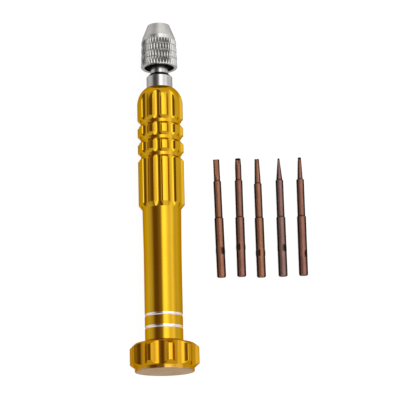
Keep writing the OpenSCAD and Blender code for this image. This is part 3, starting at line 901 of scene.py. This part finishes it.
def make_arbor(material):
    rear, front, _ = extent("chuck_arbor")
    seat = extent("handle_body")[1]
    end = seat + COLLAR_LEN
    socket = front - SOCKET_DEPTH
    bore = front - ARBOR_BORE_DEPTH
    thread = (front - ARBOR_THREAD_LEN, front)
    chamfer = [(end - d, COLLAR_R - COLLAR_CHAMFER + d, fillet)
               for d, fillet in ((COLLAR_CHAMFER, 0.08), (0.2, 0), (0.1, 0), (0, 0.05))]
    before = [(rear, 0, 0), (rear, ARBOR_LEAD_R, 0), (rear + ARBOR_LEAD_LEN, ARBOR_SHANK_R, 0),
              (seat, ARBOR_SHANK_R, 0), (seat, COLLAR_R, 0.06), *chamfer,
              (end, ARBOR_NECK_R, 0.06), (end + 0.2, ARBOR_NECK_R, 0),
              (end + 0.3, ARBOR_NECK_R, 0), (thread[0], ARBOR_NECK_R, 0)]
    after = [(front, SOCKET_R, 0.05), (socket, SOCKET_R, 0), (socket, ARBOR_BORE_R, 0),
             (bore, ARBOR_BORE_R, 0), (bore, 0, 0)]
    outline = with_thread(before, after, ARBOR_CREST_R, *thread, ARBOR_PITCH / 10)

    # Painted shade: the crease between collar and neck
    def seam_shade(z, r, angle):
        band = smooth_step(SEAM_HALF[1], SEAM_HALF[0], np.abs(z - end - SEAM_POS))
        return band * (r > SEAM_FROM_R)

    piece = lathe("arbor_turned", outline, driver, material,
                  shape=threaded(ARBOR_CREST_R, ARBOR_PITCH, *thread), marks={"seam_shade": seam_shade})
    finish_piece(piece, "handle", "nickel_steel", "chuck_arbor")


# Nut: the relief bore from the rear; cone, thread and the cone that closes the collet from
# the nose
NUT_REAR_R = 4.9
NUT_FRONT_R = 4.675
NUT_RIM_LEN = 0.3
NUT_REAR_FACE_R = 4.72
CONE_LEN = 4.5
NOSE_R = 2.95
# A smooth band in front of the knurling leads over to the cone
BAND_REAR_R = 4.545
BAND_FRONT_R = 4.345
BAND_LEN = 0.95
RELIEF_R = 3.9
RELIEF_EDGE = 0.12
RELIEF_DEPTH = 1.6
NUT_THREAD_R = 2.5
NUT_THREAD_END = 5.0
COLLET_BORE_R = 2.15
JAW_CONE = (3.5, 1.1)
JAW_CONE_END_R = 1.625
NOSE_BORE_R = 1.63
NOSE_EDGE = 0.2
DARK_BORE_END = 2

# Diamonds round the nut and their length, the grid's cells across one of them, the rows of
# cells that the rings lie on, how deep the rings are as a share of the knurling's depth, and
# the radius beyond which an outline's point is on the outside
KNURL_TEETH = 36
KNURL_LENGTH = 4.6
KNURL_DEPTH = 0.28
KNURL_CELLS = 20
KNURL_RINGS = [8, 16, 24]
KNURL_RING_DEPTH = 0.75
KNURL_FROM_R = 4.2


def knurl_cut(z, angle, z0):
    """Depth of the diamond knurling from 0 to 1: two crossing families of grooves between
    rounded diamonds."""
    around = KNURL_TEETH * angle / (2 * math.pi)
    along = (z - z0) / KNURL_LENGTH
    left = (around + along) % 1.0
    right = (around - along) % 1.0
    ridge = 2 * np.minimum(np.minimum(left, 1 - left), np.minimum(right, 1 - right))
    return 1 - np.sin(ridge * math.pi / 2)


def knurl_diagonals(outline, angles, z0):
    """Which cells of the grid are split along their second diagonal, so that every split
    follows the groove or the ridge that crosses its cell."""
    z = np.array([p[0] for p in outline])[:, None]
    here = knurl_cut(z, angles[None, :], z0)
    ahead = np.roll(here, -1, axis=1)
    above = np.roll(here, -1, axis=0)
    both = np.roll(above, -1, axis=1)
    middle = knurl_cut(np.roll(z, -1, axis=0) / 2 + z / 2,
                       angles[None, :] + math.pi / len(angles), z0)
    return np.abs((ahead + above) / 2 - middle) < np.abs((here + both) / 2 - middle)


def make_nut(material):
    rear, nose, _ = extent("chuck_nut")
    cone = nose - CONE_LEN
    step = KNURL_LENGTH / KNURL_CELLS
    knurl_start = rear + NUT_RIM_LEN
    rows = math.floor((cone - knurl_start) / step)
    knurl_end = knurl_start + rows * step
    slope = (NUT_REAR_R - NUT_FRONT_R) / (cone - knurl_start)
    knurled = [(z, NUT_REAR_R - slope * (z - knurl_start))
               for z in knurl_start + step * np.arange(rows + 1)]
    start = rounded([(rear + RELIEF_DEPTH, RELIEF_R, 0),
                     (rear + RELIEF_EDGE, RELIEF_R, 0.03),
                     (rear, RELIEF_R + RELIEF_EDGE, 0.03), (rear, NUT_REAR_FACE_R, 0.05),
                     (*knurled[0], 0)])[:-1]
    tip = rounded([(*knurled[-1], 0), (knurl_end + 0.1, BAND_REAR_R, 0),
                   (cone + BAND_LEN, BAND_FRONT_R, 0.2), (nose, NOSE_R, 0.08),
                   (nose, NOSE_BORE_R + NOSE_EDGE, 0.06), (nose - NOSE_EDGE, NOSE_BORE_R, 0),
                   (nose - JAW_CONE[1], JAW_CONE_END_R, 0),
                   (nose - JAW_CONE[0], COLLET_BORE_R, 0),
                   (nose - NUT_THREAD_END, COLLET_BORE_R, 0),
                   (nose - NUT_THREAD_END, NUT_THREAD_R, 0),
                   (rear + RELIEF_DEPTH, NUT_THREAD_R, 0)])[1:]
    outline = start + knurled + tip
    rings = knurl_start + step * np.array(KNURL_RINGS)

    def shape(z, r, angle):
        """Cuts the knurling, with shallow rings where its passes overlap."""
        ring = sum(np.isclose(z, station).astype(float) for station in rings)
        cut = np.maximum(knurl_cut(z, angle, knurl_start), KNURL_RING_DEPTH * ring)
        knurled_part = (z > knurl_start - TINY) & (z < knurl_end + TINY) & (r > KNURL_FROM_R)
        return np.where(knurled_part, r - KNURL_DEPTH * cut, r)

    def groove(z, r, angle):
        """Painted shade: deeper cuts are darker, and so is the bore up to the jaws."""
        cut = np.clip((r - shape(z, r, angle)) / KNURL_DEPTH, 0, 1) ** 1.5 * 0.8
        bore = (r < RELIEF_R + RELIEF_EDGE / 2) & (z < nose - DARK_BORE_END)
        return np.where(bore, 1.0, cut)

    angles = even_angles(KNURL_TEETH * KNURL_CELLS)
    piece = lathe("knurled_nut", outline, driver, material, angles, shape,
                  {"groove": groove}, closed=True,
                  flip=knurl_diagonals(outline, angles, knurl_start))
    finish_piece(piece, "nut", "knurled_steel", "chuck_nut")


# ---------------------------------------------------------------- bits

# Shank, middle and tip of a bit, which ends at BIT_LEN, and a radius outside every bit
SHANK_R = 1.2
SHANK_LEN = 15.9
MID_R = 1.025
TIP_R = 0.83
TIP_LEN = 5.9
WING_TIP_LEN = 6.6
BIT_LEN = 31.8
SHANK_CHAMFER = 0.25
SHANK_END_R = 1.0
# Length of each step down in radius, and the width of the painted shade line along it
STEP_LEN = 0.1
STEP_LINE = 0.17
FLUTE_ROUND = 0.02
BIT_FAR = 2.0

# The crimp: how far its rows reach, half the width of its dents, their depth, and the height
# of the lip round them and of the ears between them
CRIMP_LEN = 2.0
CRIMP_REACH = 1.6
DENT_HALF = 0.42
DENT_DEPTH = 0.28
LIP_HEIGHT = 0.05
EAR_HEIGHT = 0.13
# A lying bit's sides darken with painted shade from the first to the second value of how level
# they face, and burnt black begins over this length
FLANK = (0.42, 0.74)
BURNT_EDGE = 0.12


def star(count, waist, start, length):
    """Shape function: round lobes, with scallops that deepen from start over length."""
    def shape(z, r, angle):
        depth = smooth_step(start, start + length, z) * waist
        wave = 0.5 - 0.5 * np.cos(count * angle)
        return r * (1 - depth * wave ** 1.3)
    return shape


def vee_flutes(count, turn, opening, length, roots):
    """Shape function: V flutes that slope inwards over a length at the end of the bit. Their
    opening angle and the radius to their roots at both ends of that length are given."""
    slope = math.tan(math.radians(opening / 2))
    least = 1e-3

    def shape(z, r, angle):
        root = np.interp(z, [BIT_LEN - length, BIT_LEN], roots)
        off = sector_angle(angle, count, turn)
        inside = slope * np.cos(off) - np.abs(np.sin(off))
        wall = np.where(inside > least, root * slope / np.maximum(inside, least), BIT_FAR)
        return smooth_min(r, np.minimum(wall, BIT_FAR), FLUTE_ROUND)

    return shape


def bell(value, width, power=2):
    """1 where value is 0, falling off evenly on both sides."""
    return np.exp(-(value / width) ** power)


def crimp(z, angle, where, turn):
    """Change of radius by the crimping tool: dents on two sides, ears pushed out between."""
    across = SHANK_R * np.sin(sector_angle(angle, 2, turn - 90))
    along = z - where
    # Distance from the middle of a dent, which is 1 at its rounded-square edge
    q = (np.abs(across / DENT_HALF) ** 3 + np.abs(along / (CRIMP_LEN / 2)) ** 3) ** (1 / 3)
    dent = DENT_DEPTH * (1 - smooth_step(0.72, 1.08, q))
    lip = LIP_HEIGHT * bell(q - 1.22, 0.16)
    ear = EAR_HEIGHT * bell(sector_angle(angle, 2, turn), 0.45) * bell(along, 0.75, 4)
    return lip + ear - dent


def step_down(z, before, after, fillet):
    """Corners of a step in radius, with two more rows before it to keep its line narrow."""
    return [(z - 0.5, before, 0), (z - 0.3, before, 0), (z - STEP_LEN, before, 0.04),
            (z, after, fillet)]


def make_bit(name, turn, tip_points, tip_shape, material, black_end, tip_len=TIP_LEN):
    """One bit, whose crimp is turned by turn degrees. tip_points continue the outline from
    the base of the tip to its end, which is black over the length given."""
    mount = mounts[name + "_shank"]
    backwards = Vector(mount["axis"])
    length = mount["dims"]["length_mm"]
    origin = Vector(mount["pos_m"]) + backwards * (SHANK_CHAMFER + length / 2) * MM
    where = SHANK_CHAMFER + length + CRIMP_LEN / 2
    tip = BIT_LEN - tip_len
    shank = [(0, 0, 0), (0, SHANK_END_R, 0.06), (SHANK_CHAMFER, SHANK_R, 0.06)]
    steps = [*step_down(SHANK_LEN, SHANK_R, MID_R, 0.03),
             (SHANK_LEN + 0.25, MID_R, 0), (SHANK_LEN + 0.5, MID_R, 0),
             *step_down(tip, MID_R, tip_points[0][1], 0.02), (*tip_points[1], 0)]
    crimp_start = where - CRIMP_REACH
    crimp_end = where + CRIMP_REACH
    outline = rounded(shank + [(crimp_start, SHANK_R, 0)])
    outline += dense(crimp_start, crimp_end, SHANK_R, SHANK_R, 0.1)[1:]
    outline += rounded([(crimp_end, SHANK_R, 0)] + steps)[1:-1]
    outline += tip_points[1:]
    end_z, end_r = outline[-1]
    outline += [(end_z, end_r * 0.6), (end_z, 0)]

    def crimped(z, angle):
        """Change of radius near the crimp, 0 elsewhere."""
        near = np.abs(z - where) < CRIMP_REACH + 0.01
        return np.where(near, crimp(z, angle, where, turn), 0)

    def shape(z, r, angle):
        r = r + crimped(z, angle)
        if tip_shape is None:
            return r
        # The end face shrinks with its edge
        edge = np.where(z >= end_z - TINY, end_r, r)
        scale = tip_shape(z, edge, angle) / np.maximum(edge, TINY)
        return np.where(z > tip + 0.01, r * scale, r)

    def groove(z, r, angle):
        """Painted shade: dark in the dents and along both steps."""
        dent = np.clip(-crimped(z, angle) / 0.20, 0, 1)
        lines = bell(z - SHANK_LEN, STEP_LINE) + bell(z - tip, STEP_LINE)
        return np.clip(0.8 * dent + lines, 0, 1)

    def burnt(z, r, angle):
        start = end_z - black_end
        return smooth_step(start - BURNT_EDGE, start, z)

    # Painted shade on the sides that face sideways
    def flank_shade(z, r, angle):
        return smooth_step(*FLANK, np.abs(np.cos(angle))) * (r > 0.05)

    piece = lathe(name + "_forged", outline, placement(origin, -backwards), material, shape=shape,
                  marks={"groove": groove, "burnt": burnt, "flank_shade": flank_shade})
    finish_piece(piece, name, "brown_bit_steel", name)
    # As in the photo, the bits aren't seen in the polished barrel
    piece.visible_glossy = False
    return piece


def flatten_blade(piece):
    """Presses the tip of the slotted bit between two flats that taper to a thin edge."""
    tip = BIT_LEN - TIP_LEN
    stations = [tip, tip + 0.9, BIT_LEN - 0.7, BIT_LEN]
    halves = [1.0, TIP_R, 0.15, 0.14]
    for vertex in piece.data.vertices:
        z = vertex.co.z / MM
        if z > tip:
            half = np.interp(z, stations, halves)
            vertex.co.y = max(-half, min(half, vertex.co.y / MM)) * MM
    piece.data.set_sharp_from_angle(angle=SHARP_ANGLE)


# The oxide on the bits, as a light and a deep colour
WARM_OXIDE = ((0.225, 0.100, 0.061), (0.130, 0.056, 0.034))
PLAIN_OXIDE = ((0.200, 0.092, 0.066), (0.110, 0.050, 0.036))
GREY_OXIDE = ((0.180, 0.100, 0.086), (0.100, 0.055, 0.048))


def make_bits():
    """The five bits, from left to right."""
    oxide = {"bit_slotted": WARM_OXIDE, "bit_six_lobe": PLAIN_OXIDE,
             "bit_three_wing": WARM_OXIDE, "bit_cross": GREY_OXIDE,
             "bit_five_lobe": PLAIN_OXIDE}
    steel = {n: brown_bit_steel("brown_" + n, *c) for n, c in oxide.items()}
    tip = BIT_LEN - TIP_LEN

    blade = dense(tip, BIT_LEN, TIP_R, TIP_R, 0.15)
    slotted = make_bit("bit_slotted", 30, blade, None, steel["bit_slotted"], 0.08)
    flatten_blade(slotted)

    neck = dense(tip, BIT_LEN - 2.0, TIP_R, TIP_R, 0.3)
    lobes = dense(BIT_LEN - 1.9, BIT_LEN, 0.82, 0.70, 0.1)
    make_bit("bit_six_lobe", -27, neck + lobes, star(6, 0.20, BIT_LEN - 1.9, 0.7),
             steel["bit_six_lobe"], 0.45)

    taper = dense(BIT_LEN - WING_TIP_LEN, BIT_LEN, TIP_R, 0.60, 0.1)
    make_bit("bit_three_wing", -24, taper, vee_flutes(3, 30, 70, 1.9, [0.72, 0.26]),
             steel["bit_three_wing"], 0.10, WING_TIP_LEN)

    point = dense(tip, BIT_LEN, TIP_R, 0.25, 0.08)
    make_bit("bit_cross", 32, point, vee_flutes(4, 45, 90, 2.4, [0.52, 0.13]),
             steel["bit_cross"], 0.45)

    neck = dense(tip, BIT_LEN - 0.9, 0.71, 0.49, 0.3)
    lobes = dense(BIT_LEN - 0.8, BIT_LEN, 0.48, 0.44, 0.1)
    make_bit("bit_five_lobe", 41, neck + lobes, star(5, 0.24, BIT_LEN - 1.0, 0.3),
             steel["bit_five_lobe"], 0.45)


# ---------------------------------------------------------------- carried-over CAD nodes

CAD_SHARP_ANGLE = math.radians(30)


def dress(material, *names):
    """Gives CAD nodes that keep their own mesh a finished material and smooth shading."""
    for name in names:
        mesh = nodes[name].data
        mesh.materials.clear()
        mesh.materials.append(material)
        mesh.shade_smooth()
        mesh.set_sharp_from_angle(angle=CAD_SHARP_ANGLE)


make_camera()
make_studio()
make_floor()
gold = gold_anodised("gold_anodised", (0.400, 0.236, 0.009), (0.445, 0.275, 0.015))
cap_gold = gold_anodised("gold_anodised_cap", (0.345, 0.180, 0.005), (0.390, 0.210, 0.010))
make_handle(gold)
make_cap(cap_gold)
make_disc(matte_disc())
make_plug(gold)
make_arbor(nickel_steel())
make_nut(knurled_steel())
make_bits()
dress(spring_steel(), "collet", "pivot_screw", "shim_washer")
dress(bearing_steel(), "bearing_inner_race", "bearing_outer_race", "bearing_balls",
      "bearing_shields")
dress(cage_brass(), "bearing_cage")
dress(seal_rubber(), "plug_o_ring")
dress(white_nylon(), "cap_washer")
